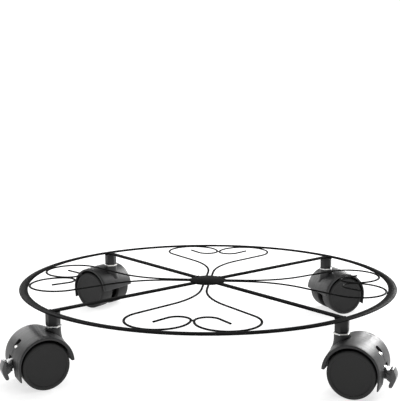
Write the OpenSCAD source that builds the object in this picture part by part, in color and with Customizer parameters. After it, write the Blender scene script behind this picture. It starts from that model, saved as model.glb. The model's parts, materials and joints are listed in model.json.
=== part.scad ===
/* [Frame] */
// Outside diameter of the ring
ring_d = 355.6; // [300:0.1:420]
// Width of the ring's band, seen from above
ring_w = 8; // [5:0.5:12]
// Thickness of the ring's band at its crown
ring_t = 1.8; // [1.4:0.1:3]
// Height of the middle of the ring above the tops of the wheels
ring_rise = 20; // [17:0.5:35]
// Diameter of the hub disc
hub_d = 34; // [26:1:50]
// Thickness of the hub disc
hub_t = 1.8; // [1.4:0.1:3]
// Width of a spoke
spoke_w = 6; // [4:0.5:9]
// Thickness of a spoke
spoke_t = 1.6; // [1:0.1:3]
// Angle of the first spoke from +X
spoke_angle = 45; // [35:1:55]

/* [Scrolls] */
// Width of the scroll wire, seen from above
wire_w = 2.2; // [1.6:0.1:3]
// Thickness of the scroll wire
wire_t = 1.5; // [1:0.1:2.2]
// Radius of the big loop, on the wire's centre line
loop_r = 27; // [22:0.5:29]
// Radius of the inner curl, on the wire's centre line
curl_r = 11; // [8:0.5:12]
// How far round the inner curl goes, in degrees
curl_sweep = 142; // [120:1:160]
// Length of the straight tail at the end of the curl
tail_l = 16; // [8:1:18]
// Angle at which a wire runs into its loop
entry_angle = 40; // [34:1:44]
// Radius of the bend between the hub and the loop
bend_r = 84; // [60:1:90]
// Distance between the centre lines of two mirrored loops
loop_gap = 2.7; // [2.6:0.1:5]
// Distance between the centre lines of two mirrored wires at the hub
root_gap = 5; // [4:0.5:7]

/* [Stems] */
// Distance of a stem's axis in from the ring's outer edge
stem_inset = 8.8; // [7:0.1:12]
// Width across flats of a hexagonal socket
socket_af = 11; // [10.5:0.1:13]
// Angle of a socket's first corner from +X
hex_turn = 13; // [0:1:59]
// Length of a hexagonal socket, from the flange up to the ring
socket_l = 11.1; // [10.5:0.1:13]
// Diameter of the threaded end
thread_d = 8; // [6:0.5:9]
// Length of the threaded end above the flange
thread_l = 10; // [6:0.5:10.5]
// Width across flats of the stem's flange
flange_af = 12.6; // [12:0.1:14]
// Thickness of the stem's flange
flange_t = 1.3; // [1:0.1:2]
// Diameter of the journal below the flange
journal_d = 7; // [6:0.1:8]
// Length of the journal below the flange
journal_l = 12; // [10:0.5:13]

/* [Wheels] */
// Diameter of a wheel
wheel_d = 40; // [38:0.5:41]
// Width of a wheel
wheel_w = 16.4; // [15:0.1:16.7]
// Diameter of the axle
axle_d = 5; // [4:0.1:6]
// Length of the axle
axle_l = 34; // [28:1:37]
// Distance of the axle behind the stem's axis
trail = 13; // [11:0.5:14]
// Outer diameter of the hub inside a wheel
wheel_hub_d = 22; // [18:0.5:22]
// Thickness of a wheel's rim
rim_t = 3.4; // [2:0.1:3.4]
// Thickness of a wheel's outer disc
disc_t = 2.4; // [1.6:0.1:4]
// Number of ribs behind a wheel's outer disc
wheel_ribs = 6; // [4:1:8]

/* [Hood] */
// Gap between a wheel's tread and the inside of the hood
hood_gap = 1.1; // [1:0.1:2.5]
// Width of the hood across both wheels
hood_w = 44; // [42:0.5:48]
// Wall of the hood at its edges
hood_wall = 1.6; // [1.2:0.1:2]
// How far the hood swells from its edges to its middle
hood_crown = 0.8; // [0.4:0.1:1.5]
// Height of the hood's centre above the axle
hood_rise = 1; // [0.5:0.1:2]
// How far the hood leans forward, which thickens its wall in front of the wheels
hood_lean = 0.6; // [0:0.1:1]
// How far the skirt hangs below the axle at the back
skirt_drop = 10.2; // [8:0.1:14]
// Angle by which the skirt runs in under the wheels
skirt_tilt = 7; // [0:0.5:12]
// How much higher the skirt's lower edge is beside the lever than at the sides
skirt_slant = 1.4; // [0:0.1:3]
// Height of the hood's front lip above the axle
front_lip = 2; // [0:0.5:6]
// Thickness of the web between the wheels
web_t = 10; // [9:0.5:11]
// Outer diameter of the neck
neck_d = 13; // [11:0.1:14]
// Width of the window over the brake lever
window_w = 6.5; // [4:0.5:8]
// Angle of the window's lower end above the axle
window_low = 30; // [26:1:38]
// Angle of the window's upper end above the axle
window_high = 51; // [46:1:60]

/* [Brake] */
// Width of the lever's arm
lever_w = 5.6; // [4:0.1:6]
// Width of the lever's paddle at its top
paddle_w = 11; // [8:0.5:12]
// Width of the lever's paddle at its tip
paddle_tip_w = 5.6; // [4:0.1:8]
// Diameter of the lever's pin
lever_pin_d = 2.5; // [2:0.1:3]
// Diameter of the brake shoe, a steel pin that reaches into both wheels
shoe_d = 3; // [2:0.1:3.2]
// Length of the brake shoe
shoe_l = 17; // [14:0.5:20]
// Thickness of the leaf spring behind the window
spring_t = 0.6; // [0.4:0.1:0.8]

/* [Casters at rest] */
// Direction in which the front left caster trails
swivel_front_left = -147; // [-180:1:180]
// Direction in which the front right caster trails
swivel_front_right = -18; // [-180:1:180]
// Direction in which the back left caster trails
swivel_back_left = 150; // [-180:1:180]
// Direction in which the back right caster trails
swivel_back_right = 25; // [-180:1:180]

/* [Hidden] */
$fn = 96;

// Clearances: sliding shafts, faces that pass each other, and faces that turn on each other
running = 0.05;
passing = 0.3;
turning = 0.2;
// Overshoot of a cutting tool
cut = 1;

// Frame
ring_inner_r = ring_d / 2 - ring_w;
ring_edge_t = 0.7;
crown_facets = 7;
hub_edge = 0.5;
spoke_reach = ring_d / 2 - ring_w / 2;
spoke_edge_t = spoke_t - 0.5;
spoke_drop = (ring_t - spoke_t) / 2;

// Scrolls: u runs out along the middle of a quarter, v across it
touch_r = ring_inner_r - wire_w / 2;
loop_v = loop_r + loop_gap / 2;
loop_u = sqrt(pow(touch_r - loop_r, 2) - pow(loop_v, 2));
entry_u = loop_u - loop_r * sin(entry_angle);
entry_v = loop_v + loop_r * cos(entry_angle);
root_u = hub_d / 2 - 2 * cut;
root_v = root_gap / 2;
corner_u = entry_u - (entry_v - root_v) / tan(entry_angle);
root_bend_r = min(bend_r, (corner_u - root_u - cut) / tan(entry_angle / 2));
bend_tangent = root_bend_r * tan(entry_angle / 2);
bend_end_u = corner_u + bend_tangent * cos(entry_angle);
bend_end_v = root_v + bend_tangent * sin(entry_angle);
rise_l = norm([entry_u - bend_end_u, entry_v - bend_end_v]);
wire_sides = 8;
wire_sag = 0.06;

// Stems, from the floor up
stem_radius = ring_d / 2 - stem_inset;
ring_z = wheel_d + ring_rise;
flange_top = ring_z - ring_t / 2 - socket_l;
flange_bottom = flange_top - flange_t;
journal_bottom = flange_bottom - journal_l;
bevel = 0.5;
thread_bevel = 0.8;
groove_lift = 1.5;
groove_z = journal_bottom + groove_lift;
groove_h = 0.8;
groove_depth = 0.5;
groove_r = journal_d / 2 - groove_depth;
snap_ring_r = journal_d / 2 + groove_depth;
corner_over_flat = 1 / cos(30);

// Hood and wheels, with the axle at the origin of the side view
wheel_r = wheel_d / 2;
wheel_side = web_t / 2 + passing;
axle_z = wheel_r;
neck_top = flange_bottom - turning;
neck_foot_rise = 10;
neck_foot = axle_z + neck_foot_rise;
neck_flare_r = 4;
neck_flare_h = 9;
neck_flare_top = neck_foot + neck_flare_h;
hood_inner_r = wheel_r + hood_gap;
hood_r = hood_inner_r + hood_wall + hood_crown;
hood_edge = 0.6;
crown_r = (pow(hood_w / 2, 2) + pow(hood_crown, 2)) / (2 * hood_crown);
recess_r = wheel_r - rim_t;
tread_edge = 0.6;
shoulder_r = 1.4;
dish_depth = 0.6;
rib_t = 1.4;
shoe_reach = shoe_l / 2 - wheel_side;
boss_r = 7.5;
skirt_tip_t = 0.9;
skirt_l = (skirt_drop + hood_rise - hood_r * sin(skirt_tilt)) / cos(skirt_tilt);
lip_bead_d = hood_wall + 2 * hood_lean;
moat_w = 1.2;
moat_depth = 2.4;
moat_bottom = axle_z + hood_rise + hood_r - moat_depth;
exit_w = paddle_w + 2;
exit_top = 8.5;

// Brake, in the side view from the axle
pivot = [7, 12.5];
shoe_gap = 0.5;
shoe_r = recess_r - shoe_gap - shoe_d / 2;
shoe_angle = 31;
shoe = [shoe_r * cos(shoe_angle), shoe_r * sin(shoe_angle)];
ear_r = 3.2;
shoe_boss_t = 1;
paddle_waist_z = -2.5;
paddle_tip_z = -12.8;

function site(angle) = [stem_radius * cos(angle), stem_radius * sin(angle), 0];

// Height of a crowned face above the middle of its bar, at x across the bar
function crown_at(x, w, t, edge_t) =
    let (flat = w / (2 * crown_facets))
    t / 2 - (t - edge_t) / 2 * (pow(x, 2) - pow(flat, 2)) / (pow(w / 2, 2) - pow(flat, 2));

// Flat bar with two crowned faces, as a section whose middle facets are level
module crowned_section(w, t, edge_t) {
    places = [for (k = [0 : crown_facets]) w * (k / crown_facets - 0.5)];
    upper = [for (x = places) [x, crown_at(x, w, t, edge_t)]];
    lower = [for (x = places) [-x, -crown_at(x, w, t, edge_t)]];
    polygon(concat(upper, lower));
}

module ring_band() {
    rotate_extrude($fn = 180)
        translate([ring_d / 2 - ring_w / 2, 0])
            crowned_section(ring_w, ring_t, ring_edge_t);
}

module ring() {
    color("#2b2b2b")
        translate([0, 0, ring_z])
            ring_band();
}

module hub_plate() {
    rotate_extrude()
        polygon([
            [0, -hub_t / 2],
            [hub_d / 2 - hub_edge, -hub_t / 2],
            [hub_d / 2, hub_edge - hub_t / 2],
            [hub_d / 2, hub_t / 2 - hub_edge],
            [hub_d / 2 - hub_edge, hub_t / 2],
            [0, hub_t / 2]
        ]);
}

module hub_disc() {
    color("#2b2b2b")
        translate([0, 0, ring_z])
            hub_plate();
}

// A spoke is coped over the hub disc at one end and over the ring at the other
module spoke(angle) {
    color("#2b2b2b")
        translate([0, 0, ring_z])
            rotate([0, 0, angle])
                difference() {
                    translate([hub_d / 2 - cut, 0, -spoke_drop])
                        rotate([90, 0, 90])
                            linear_extrude(spoke_reach - hub_d / 2 + cut)
                                crowned_section(spoke_w, spoke_t, spoke_edge_t);
                    ring_band();
                    cylinder(d = hub_d, h = hub_t + cut, center = true);
                }
}

// Places along a wire are [x, y, heading]
function along(pose, l) = [pose.x + l * cos(pose.z), pose.y + l * sin(pose.z), pose.z];

function round_bend(pose, r, turn) =
    let (side = sign(turn), heading = pose.z + turn)
    [
        pose.x + side * r * (sin(heading) - sin(pose.z)),
        pose.y - side * r * (cos(heading) - cos(pose.z)),
        heading
    ];

function move_on(pose, size, turn) = turn == 0 ? along(pose, size) : round_bend(pose, size, turn);

// Turn between two rings of a bend: finer where the bend is wide, and never over 10 degrees
function ring_turn(r) = min(10, 2 * acos(1 - wire_sag / r));

// All places along steps of [length, 0] or [bend radius, turn], each from the end of the last
function wire_places(steps, pose, i = 0) =
    i == len(steps) ? [pose] :
    let (size = steps[i][0], turn = steps[i][1])
    let (parts = turn == 0 ? 1 : ceil(abs(turn) / ring_turn(size)))
    concat(
        [pose],
        [for (k = [1 : 1 : parts - 1]) round_bend(pose, size, turn * k / parts)],
        wire_places(steps, move_on(pose, size, turn), i + 1)
    );

// Sweeps a flattened oval along the places, lying flat
module swept_wire(places) {
    rings = len(places);
    n = wire_sides;
    points = [
        for (p = places, k = [0 : n - 1])
            let (a = 360 * (k + 0.5) / n)
            let (across = wire_w / 2 * cos(a) / cos(180 / n), up = wire_t / 2 * sin(a) / cos(180 / n))
            [p.x - across * sin(p.z), p.y + across * cos(p.z), up]
    ];
    sides = [
        for (i = [0 : rings - 2], k = [0 : n - 1])
            let (a = i * n + k, b = i * n + (k + 1) % n)
            each [[b, a, a + n], [b, a + n, b + n]]
    ];
    first = [for (k = [0 : n - 1]) k];
    last = [for (k = [n - 1 : -1 : 0]) (rings - 1) * n + k];
    polyhedron(points, concat([first], sides, [last]));
}

// One scroll on the +v side of the +X quarter axis: root, bend, rise, loop, curl and tail
module scroll_wire() {
    steps = [
        [corner_u - bend_tangent - root_u, 0],
        [root_bend_r, entry_angle],
        [rise_l, 0],
        [loop_r, -180 - entry_angle],
        [curl_r, -curl_sweep],
        [tail_l, 0]
    ];
    difference() {
        swept_wire(wire_places(steps, [root_u, root_v, 0]));
        translate([0, 0, -cut]) cylinder(d = hub_d, h = wire_t + 2 * cut);
    }
}

module scroll(quarter, side) {
    color("#2b2b2b")
        translate([0, 0, ring_z])
            rotate([0, 0, quarter])
                mirror([0, side, 0])
                    scroll_wire();
}

module socket(angle) {
    corner_r = socket_af / 2 * corner_over_flat;
    color("#262626")
        translate(site(angle) + [0, 0, flange_top])
            difference() {
                intersection() {
                    rotate([0, 0, hex_turn]) cylinder(r = corner_r, h = socket_l, $fn = 6);
                    rotate_extrude()
                        polygon([
                            [0, 0],
                            [corner_r - thread_bevel, 0],
                            [corner_r, thread_bevel],
                            [corner_r, socket_l],
                            [0, socket_l]
                        ]);
                }
                translate([0, 0, -cut]) cylinder(d = thread_d, h = socket_l + 2 * cut);
            }
}

module stem(angle) {
    color("#b8b8b8")
        translate(site(angle)) {
            translate([0, 0, flange_bottom])
                rotate([0, 0, hex_turn])
                    cylinder(r = flange_af / 2 * corner_over_flat, h = flange_t, $fn = 6);
            rotate_extrude()
                polygon([
                    [0, journal_bottom],
                    [journal_d / 2 - bevel, journal_bottom],
                    [journal_d / 2, journal_bottom + bevel],
                    [journal_d / 2, groove_z],
                    [groove_r, groove_z],
                    [groove_r, groove_z + groove_h],
                    [journal_d / 2, groove_z + groove_h],
                    [journal_d / 2, flange_bottom + flange_t / 2],
                    [thread_d / 2, flange_bottom + flange_t / 2],
                    [thread_d / 2, flange_top + thread_l - thread_bevel],
                    [thread_d / 2 - thread_bevel, flange_top + thread_l],
                    [0, flange_top + thread_l]
                ]);
        }
}

// Spring ring in the journal's groove, open at the back so that it can be sprung in
module snap_ring(angle) {
    gap_w = 1.6;
    color("#9a9a9a")
        translate(site(angle) + [0, 0, groove_z])
            difference() {
                cylinder(r = snap_ring_r, h = groove_h);
                translate([0, 0, -cut]) cylinder(r = groove_r, h = groove_h + 2 * cut);
                translate([0, -gap_w / 2, -cut]) cube([snap_ring_r + cut, gap_w, groove_h + 2 * cut]);
            }
}

// Puts a piece on a caster: the axle is then at the origin, +X trails and Y is the axle
module on_caster(angle, swivel) {
    translate(site(angle))
        rotate([0, 0, swivel])
            translate([trail, 0, axle_z])
                children();
}

// Turns a side view, drawn as x back and y up, into a plate of width w about the middle
module side_plate(w) {
    rotate([90, 0, 0]) linear_extrude(w, center = true) children();
}

// Section of the hood's outer skin: x is the radius and y is across the caster
module hood_section() {
    intersection() {
        translate([hood_r - crown_r, 0]) circle(r = crown_r, $fn = 720);
        polygon([
            [0, -hood_w / 2],
            [hood_r - hood_crown - hood_edge, -hood_w / 2],
            [hood_r, hood_edge - hood_w / 2 + hood_crown],
            [hood_r, hood_w / 2 - hood_edge - hood_crown],
            [hood_r - hood_crown - hood_edge, hood_w / 2],
            [0, hood_w / 2]
        ]);
    }
}

// The drum: turned about the axle's direction, on a centre that leans forward a little
module hood_skin() {
    lip_z = front_lip - hood_rise;
    skirt_z = -hood_r * sin(skirt_tilt);
    span = 3 * hood_r;
    translate([0, 0, hood_rise])
        intersection() {
            translate([-hood_lean, 0, 0])
                rotate([90, 0, 0])
                    rotate_extrude()
                        translate([hood_lean, 0])
                            hood_section();
            union() {
                translate([0, -hood_w, skirt_z]) cube([span, 2 * hood_w, span]);
                translate([-span, -hood_w, lip_z]) cube([span + cut, 2 * hood_w, span]);
            }
        }
}

// The skirt at the back: the drum's section again, drawn down straight under the wheels
module hood_skirt() {
    translate([0, 0, hood_rise])
        rotate([0, skirt_tilt, 0])
            translate([0, 0, -skirt_l])
                linear_extrude(skirt_l)
                    intersection() {
                        hood_section();
                        translate([hood_inner_r - cut, -hood_w]) square([hood_r, 2 * hood_w]);
                    }
}

// Side view of the web: a boss round the axle, a plate up to the skin and the ears of the lever's pin
module web_outline() {
    circle(r = boss_r);
    translate(pivot) circle(r = ear_r);
    intersection() {
        translate([0, hood_rise]) circle(r = hood_inner_r + hood_wall / 2, $fn = 180);
        polygon([
            [-hood_r, front_lip + 3],
            [-boss_r, -boss_r / 2],
            [boss_r, -boss_r / 2],
            [boss_r, hood_r + 2],
            [-hood_r, hood_r + 2]
        ]);
    }
}

module hood(angle, swivel) {
    color("#303030")
        on_caster(angle, swivel)
            difference() {
                union() {
                    hood_shell();
                    side_plate(web_t) web_outline();
                }
                neck_bore();
                axle_bore();
                lever_slot();
                lever_pin_bore();
                lever_exit();
                lever_window();
            }
}

// Skin, skirt and neck, hollowed out for the wheels
module hood_shell() {
    difference() {
        union() {
            hood_skin();
            hood_skirt();
            neck_post();
        }
        wheel_chamber();
        moat();
    }
    front_lip_bead();
}

// The rounded bead that ends the drum in front of the wheels
module front_lip_bead() {
    bead_w = hood_w - 2 * hood_crown;
    bead_r = lip_bead_d / 2;
    bead_turn = asin((front_lip - hood_rise) / (hood_r + 2 * hood_lean));
    translate([0, 0, hood_rise])
        rotate([0, bead_turn, 0])
            translate([bead_r + hood_crown - hood_r - 2 * hood_lean, 0, 0])
                rotate([90, 0, 0])
                    cylinder(r = bead_r, h = bead_w, center = true);
}

// Room for the wheels: the drum's inside, and the skirt's inside, which thins towards its tip
module wheel_chamber() {
    side_plate(hood_w + 2 * cut) {
        translate([0, hood_rise]) {
            circle(r = hood_inner_r, $fn = 180);
            rotate(-skirt_tilt)
                polygon([
                    [0, 0],
                    [hood_inner_r, 0],
                    [hood_r - hood_crown - skirt_tip_t, -skirt_l - cut],
                    [0, -skirt_l - cut]
                ]);
        }
    }
}

module axle_bore() {
    rotate([90, 0, 0]) cylinder(d = axle_d, h = hood_w, center = true);
}

module lever_pin_bore() {
    translate([pivot.x, 0, pivot.y])
        rotate([90, 0, 0])
            cylinder(d = lever_pin_d, h = hood_w, center = true);
}

// The neck is a straight post whose foot flares in a fillet where it grows out of the drum
module neck_post() {
    neck_r = neck_d / 2;
    flare_z = neck_flare_top - neck_foot;
    translate([-trail, 0, neck_foot - axle_z])
        rotate_extrude()
            difference() {
                union() {
                    square([neck_r, neck_top - neck_foot]);
                    square([neck_r + neck_flare_r, flare_z]);
                }
                translate([neck_r + neck_flare_r, flare_z]) circle(r = neck_flare_r);
            }
}

// Ring-shaped relief round the neck, which lets the flange turn
module moat() {
    translate([-trail, 0, moat_bottom - axle_z])
        difference() {
            cylinder(d = neck_d + 2 * moat_w, h = hood_r);
            translate([0, 0, -cut]) cylinder(d = neck_d, h = hood_r + 2 * cut);
        }
}

module neck_bore() {
    bore_bottom = journal_bottom - bevel;
    translate([-trail, 0, bore_bottom - axle_z])
        cylinder(r = journal_d / 2 + running, h = neck_top - bore_bottom + cut);
    translate([-trail, 0, groove_z - turning - axle_z])
        cylinder(r = snap_ring_r + passing, h = groove_h + 2 * turning);
}

// Room for the lever's arm between the ears
module lever_slot() {
    slot_w = lever_w + 2 * turning;
    side_plate(slot_w) {
        translate(pivot) circle(r = ear_r + 0.8);
        polygon([
            pivot - [1, 4],
            [hood_inner_r - 3, -4],
            [hood_inner_r - 1, 9],
            pivot + [0, 4]
        ]);
    }
}

// Way out for the lever, and below it the skirt's edge, which slants down to both sides
module lever_exit() {
    translate([wheel_hub_d / 2 + 4, 0, 0])
        rotate([90, 0, 90])
            linear_extrude(hood_r)
                polygon([
                    [-exit_w / 2, exit_top],
                    [-exit_w / 2, skirt_slant - skirt_drop],
                    [-hood_w / 2, -skirt_drop],
                    [-hood_w / 2, -skirt_drop - 2 * cut],
                    [hood_w / 2, -skirt_drop - 2 * cut],
                    [hood_w / 2, -skirt_drop],
                    [exit_w / 2, skirt_slant - skirt_drop],
                    [exit_w / 2, exit_top]
                ]);
}

// Window through the skin over the lever
module lever_window() {
    side_plate(window_w)
        translate([0, hood_rise])
            polygon([
                [0, 0],
                [2 * hood_r * cos(window_low), 2 * hood_r * sin(window_low)],
                [2 * hood_r * cos(window_high), 2 * hood_r * sin(window_high)]
            ]);
}

module axle(angle, swivel) {
    color("#9a9a9a")
        on_caster(angle, swivel)
            rotate([90, 0, 0])
                rotate_extrude()
                    polygon([
                        [0, -axle_l / 2],
                        [axle_d / 2 - bevel, -axle_l / 2],
                        [axle_d / 2, bevel - axle_l / 2],
                        [axle_d / 2, axle_l / 2 - bevel],
                        [axle_d / 2 - bevel, axle_l / 2],
                        [0, axle_l / 2]
                    ]);
}

// Half section of a wheel: x is the radius and y runs outwards from its inner face
module wheel_section() {
    bore_l = axle_l / 2 - wheel_side + passing;
    difference() {
        union() {
            polygon([
                [0, 0],
                [wheel_r - tread_edge, 0],
                [wheel_r, tread_edge],
                [wheel_r, wheel_w - shoulder_r],
                [wheel_r - shoulder_r, wheel_w],
                [recess_r, wheel_w],
                [recess_r - dish_depth, wheel_w - dish_depth],
                [0, wheel_w - dish_depth]
            ]);
            translate([wheel_r - shoulder_r, wheel_w - shoulder_r]) circle(r = shoulder_r);
        }
        square([2 * (axle_d / 2 + running), 2 * bore_l], center = true);
        translate([wheel_hub_d / 2, -cut])
            square([recess_r - wheel_hub_d / 2, wheel_w - disc_t + cut]);
    }
}

// Ribs that stiffen the outer disc, deeper in the recess than the brake shoe reaches
module wheel_ribs() {
    rib_h = wheel_w - disc_t - shoe_reach - 2 * passing;
    for (i = [0 : wheel_ribs - 1])
        rotate([0, 0, 360 * i / wheel_ribs])
            translate([(wheel_hub_d - bevel) / 2, -rib_t / 2, wheel_w - disc_t - rib_h])
                cube([recess_r - wheel_hub_d / 2 + bevel, rib_t, rib_h + bevel]);
}

module wheel(angle, swivel, side) {
    color("#2e2e2e")
        on_caster(angle, swivel)
            rotate([side * -90, 0, 0])
                translate([0, 0, wheel_side]) {
                    rotate_extrude() wheel_section();
                    wheel_ribs();
                }
}

// Side view of the lever's arm, from the ears down to the shoe and out through the skirt
module lever_arm_outline() {
    difference() {
        union() {
            translate(pivot) circle(r = ear_r);
            translate(shoe) circle(d = shoe_d + 2 * shoe_boss_t);
            polygon([
                pivot + [-1.6, -2.6],
                shoe + [-2.2, -1.4],
                [hood_r - 6.5, 0.4],
                [hood_r - 0.8, -3.4],
                [hood_r + 1.2, -6.4],
                [hood_r + 3.4, -8],
                [hood_r + 5.4, -5],
                [hood_r + 4.6, 0],
                [hood_r + 0.4, 3.6],
                [hood_r - 5.5, 6.4],
                pivot + [2.4, 2]
            ]);
        }
        translate(pivot) circle(d = lever_pin_d + 2 * running);
        translate(shoe) circle(d = shoe_d);
    }
}

// Side view of the paddle, with x from the hood's outer face
module paddle_outline() {
    translate([hood_r, 0])
        polygon([
            [0.2, 3.4],
            [2.4, 2.5],
            [4.2, 2.5],
            [5.2, 3.9],
            [6.4, 3.5],
            [8.2, -0.6],
            [8.9, -3.2],
            [7.9, -6.6],
            [5.7, paddle_tip_z + 1.2],
            [4.9, paddle_tip_z],
            [2.9, paddle_tip_z],
            [2.6, paddle_tip_z + 1.9],
            [3.9, -6.8],
            [4.2, -3.6],
            [2.4, -0.8],
            [-0.3, 0.2]
        ]);
}

// Rear view of the paddle, which narrows to its tip
module paddle_front() {
    polygon([
        [-paddle_w / 2, exit_top],
        [-paddle_w / 2, paddle_waist_z],
        [-paddle_tip_w / 2, paddle_tip_z],
        [paddle_tip_w / 2, paddle_tip_z],
        [paddle_w / 2, paddle_waist_z],
        [paddle_w / 2, exit_top]
    ]);
}

module brake_lever(angle, swivel) {
    color("#3a3a3a")
        on_caster(angle, swivel) {
            side_plate(lever_w) lever_arm_outline();
            intersection() {
                side_plate(paddle_w) paddle_outline();
                rotate([90, 0, 90]) linear_extrude(2 * hood_r) paddle_front();
            }
        }
}

// Steel pin across the lever, pressed into its arm, which brakes both wheels
module brake_shoe(angle, swivel) {
    color("#9a9a9a")
        on_caster(angle, swivel)
            translate([shoe.x, 0, shoe.y])
                rotate([90, 0, 0])
                    cylinder(d = shoe_d, h = shoe_l, center = true);
}

// Steel leaf on the end of the web, bent out over the lever's arm to the window
module leaf_spring(angle, swivel) {
    foot = [boss_r + spring_t / 2, hood_inner_r - 1.8];
    bend = [boss_r + spring_t / 2, pivot.y + 4.8];
    reach = [hood_inner_r * cos(window_low) - 0.9, hood_rise + hood_inner_r * sin(window_low) - 0.9];
    hook = reach + [0.8, -1.6];
    color("#9a9a9a")
        on_caster(angle, swivel)
            side_plate(lever_w - turning) ribbon([foot, bend, reach, hook], spring_t);
}

// Unit vector square to a stretch, to its left
function left_of(start, end) = [start.y - end.y, end.x - start.x] / norm(end - start);

// Shift of a corner that moves both stretches at it one unit to the left
function mitre(before, at, after) =
    let (a = left_of(before, at), b = left_of(at, after))
        (a + b) / (1 + a * b);

// Strip of sheet in side view, bent sharply at each inner point
module ribbon(path, t) {
    last = len(path) - 1;
    shifts = [for (i = [0 : last])
        i == 0 ? left_of(path[0], path[1]) :
        i == last ? left_of(path[last - 1], path[last]) :
        mitre(path[i - 1], path[i], path[i + 1])];
    left_edge = [for (i = [0 : last]) path[i] + shifts[i] * t / 2];
    right_edge = [for (i = [last : -1 : 0]) path[i] - shifts[i] * t / 2];
    polygon(concat(left_edge, right_edge));
}

module lever_pin(angle, swivel) {
    color("#9a9a9a")
        on_caster(angle, swivel)
            translate([pivot.x, 0, pivot.y])
                rotate([90, 0, 0])
                    cylinder(d = lever_pin_d, h = web_t, center = true);
}

front_left = 180 + spoke_angle;
front_right = -spoke_angle;
back_left = 180 - spoke_angle;
back_right = spoke_angle;

ring();
hub_disc();
spoke(front_left);  // spoke_front_left
spoke(front_right);  // spoke_front_right
spoke(back_left);  // spoke_back_left
spoke(back_right);  // spoke_back_right
scroll(-90, 1);  // scroll_front_left
scroll(-90, 0);  // scroll_front_right
scroll(0, 1);  // scroll_right_front
scroll(0, 0);  // scroll_right_back
scroll(90, 1);  // scroll_back_right
scroll(90, 0);  // scroll_back_left
scroll(180, 1);  // scroll_left_back
scroll(180, 0);  // scroll_left_front
socket(front_left);  // socket_front_left
socket(front_right);  // socket_front_right
socket(back_left);  // socket_back_left
socket(back_right);  // socket_back_right
stem(front_left);  // stem_front_left
stem(front_right);  // stem_front_right
stem(back_left);  // stem_back_left
stem(back_right);  // stem_back_right
snap_ring(front_left);  // snap_ring_front_left
snap_ring(front_right);  // snap_ring_front_right
snap_ring(back_left);  // snap_ring_back_left
snap_ring(back_right);  // snap_ring_back_right
hood(front_left, swivel_front_left);  // hood_front_left
hood(front_right, swivel_front_right);  // hood_front_right
hood(back_left, swivel_back_left);  // hood_back_left
hood(back_right, swivel_back_right);  // hood_back_right
axle(front_left, swivel_front_left);  // axle_front_left
axle(front_right, swivel_front_right);  // axle_front_right
axle(back_left, swivel_back_left);  // axle_back_left
axle(back_right, swivel_back_right);  // axle_back_right
wheel(front_left, swivel_front_left, 1);  // left_wheel_front_left
wheel(front_right, swivel_front_right, 1);  // left_wheel_front_right
wheel(back_left, swivel_back_left, 1);  // left_wheel_back_left
wheel(back_right, swivel_back_right, 1);  // left_wheel_back_right
wheel(front_left, swivel_front_left, -1);  // right_wheel_front_left
wheel(front_right, swivel_front_right, -1);  // right_wheel_front_right
wheel(back_left, swivel_back_left, -1);  // right_wheel_back_left
wheel(back_right, swivel_back_right, -1);  // right_wheel_back_right
brake_lever(front_left, swivel_front_left);  // brake_lever_front_left
brake_lever(front_right, swivel_front_right);  // brake_lever_front_right
brake_lever(back_left, swivel_back_left);  // brake_lever_back_left
brake_lever(back_right, swivel_back_right);  // brake_lever_back_right
lever_pin(front_left, swivel_front_left);  // lever_pin_front_left
lever_pin(front_right, swivel_front_right);  // lever_pin_front_right
lever_pin(back_left, swivel_back_left);  // lever_pin_back_left
lever_pin(back_right, swivel_back_right);  // lever_pin_back_right
brake_shoe(front_left, swivel_front_left);  // brake_shoe_front_left
brake_shoe(front_right, swivel_front_right);  // brake_shoe_front_right
brake_shoe(back_left, swivel_back_left);  // brake_shoe_back_left
brake_shoe(back_right, swivel_back_right);  // brake_shoe_back_right
leaf_spring(front_left, swivel_front_left);  // leaf_spring_front_left
leaf_spring(front_right, swivel_front_right);  // leaf_spring_front_right
leaf_spring(back_left, swivel_back_left);  // leaf_spring_back_left
leaf_spring(back_right, swivel_back_right);  // leaf_spring_back_right
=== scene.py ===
import json
import math

import bmesh
import bpy
from mathutils import Matrix, Vector


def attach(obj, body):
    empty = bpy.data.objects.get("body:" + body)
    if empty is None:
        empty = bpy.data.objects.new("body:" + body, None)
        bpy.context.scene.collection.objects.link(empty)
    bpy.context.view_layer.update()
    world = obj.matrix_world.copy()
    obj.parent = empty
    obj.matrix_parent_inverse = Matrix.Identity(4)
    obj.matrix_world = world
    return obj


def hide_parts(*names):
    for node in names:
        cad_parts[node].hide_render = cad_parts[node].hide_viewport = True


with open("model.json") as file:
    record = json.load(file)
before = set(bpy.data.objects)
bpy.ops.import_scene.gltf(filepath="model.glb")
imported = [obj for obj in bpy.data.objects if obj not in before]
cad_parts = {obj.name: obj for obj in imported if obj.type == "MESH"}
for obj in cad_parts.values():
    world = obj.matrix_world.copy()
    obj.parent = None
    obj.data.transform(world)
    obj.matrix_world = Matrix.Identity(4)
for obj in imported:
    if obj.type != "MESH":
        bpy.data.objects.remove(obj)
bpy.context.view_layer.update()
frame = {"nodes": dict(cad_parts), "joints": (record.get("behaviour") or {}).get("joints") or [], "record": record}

# Lengths below are in millimetres unless a name says otherwise
MM = 0.001

# Frame
RING_D = 355.6
RING_W = 8
RING_T = 1.8
RING_Z = 60
RING_INNER_R = RING_D / 2 - RING_W
HUB_D = 34
HUB_T = 1.8
HUB_EDGE_R = 0.5
SPOKE_W = 6
SPOKE_T = 1.6
SPOKE_EDGE_R = 0.55
SPOKE_LAP = 0.6

# Scroll wires, with their turns in degrees
WIRE_W = 2.2
WIRE_T = 1.5
WIRE_LAP = 1
LOOP_R = 27
LOOP_GAP = 2.7
CURL_R = 11
CURL_SWEEP = 142
TAIL_L = 16
ENTRY_ANGLE = 40
BEND_R = 84
ROOT_GAP = 5

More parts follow.
